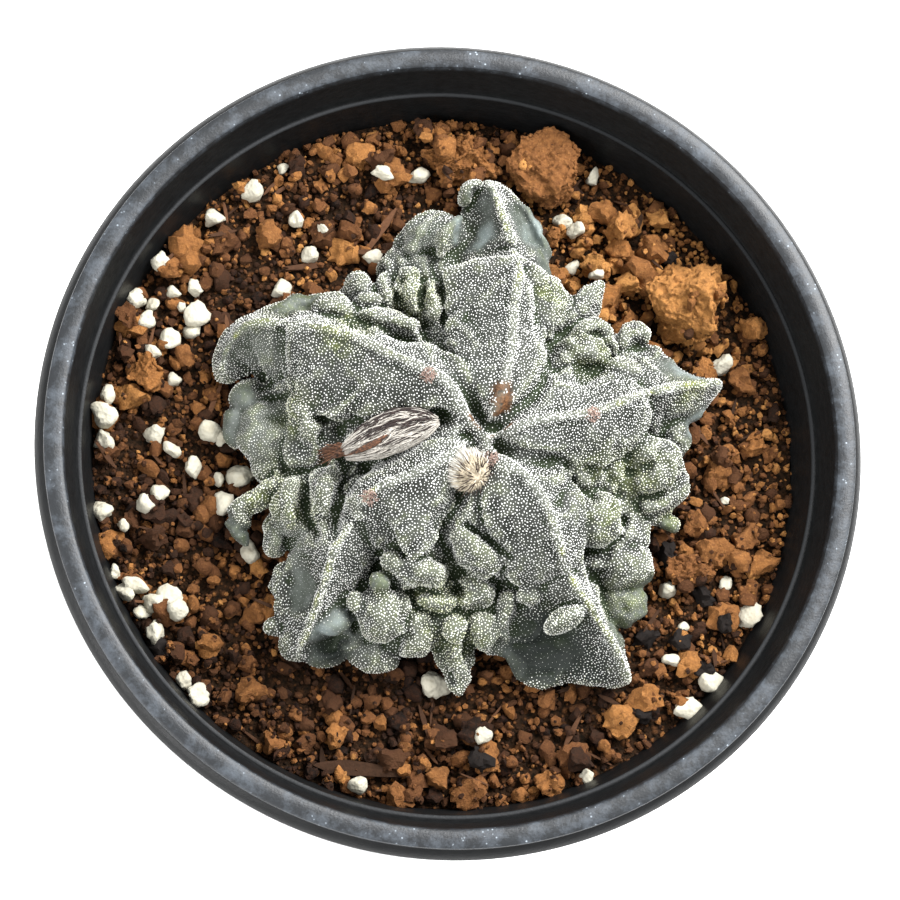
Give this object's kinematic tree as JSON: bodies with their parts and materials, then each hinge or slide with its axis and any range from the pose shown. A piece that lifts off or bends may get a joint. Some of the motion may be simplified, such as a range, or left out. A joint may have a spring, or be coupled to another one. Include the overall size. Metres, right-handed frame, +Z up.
{
  "type": "potted bishop's cap cactus",
  "caption": "Ribbed and folded bishop's cap cactus with a dried flower, growing in gritty clay mix in a round black nursery pot.",
  "frame": {"origin": "centre of the pot's foot ring, at the height of the surface that the pot stands on", "axes": "+Z up along the pot's axis, +X to the right in the picture, +Y away from the viewer"},
  "size_m": [0.1228, 0.1228, 0.1176],
  "materials": {
    "pot": "satin black plastic with pale scuffs on the rim",
    "soil": "dry crumbly mix of baked clay, bark and perlite",
    "cactus_skin": "matt grey-green skin dotted with white woolly flecks",
    "dried_flower": "dry woolly scales with dark streaks",
    "dried_bud": "cream wool with dark bristles",
    "clay_lump": "rough baked clay"
  },
  "bodies": {
    "root": {"pot": "pot", "soil": "soil", "cactus_body": "cactus_skin", "dried_flower": "dried_flower", "dried_bud": "dried_bud", "clay_lump_1": "clay_lump", "clay_lump_2": "clay_lump", "clay_lump_3": "clay_lump", "clay_lump_4": "clay_lump", "clay_lump_5": "clay_lump"}
  },
  "joints": []
}
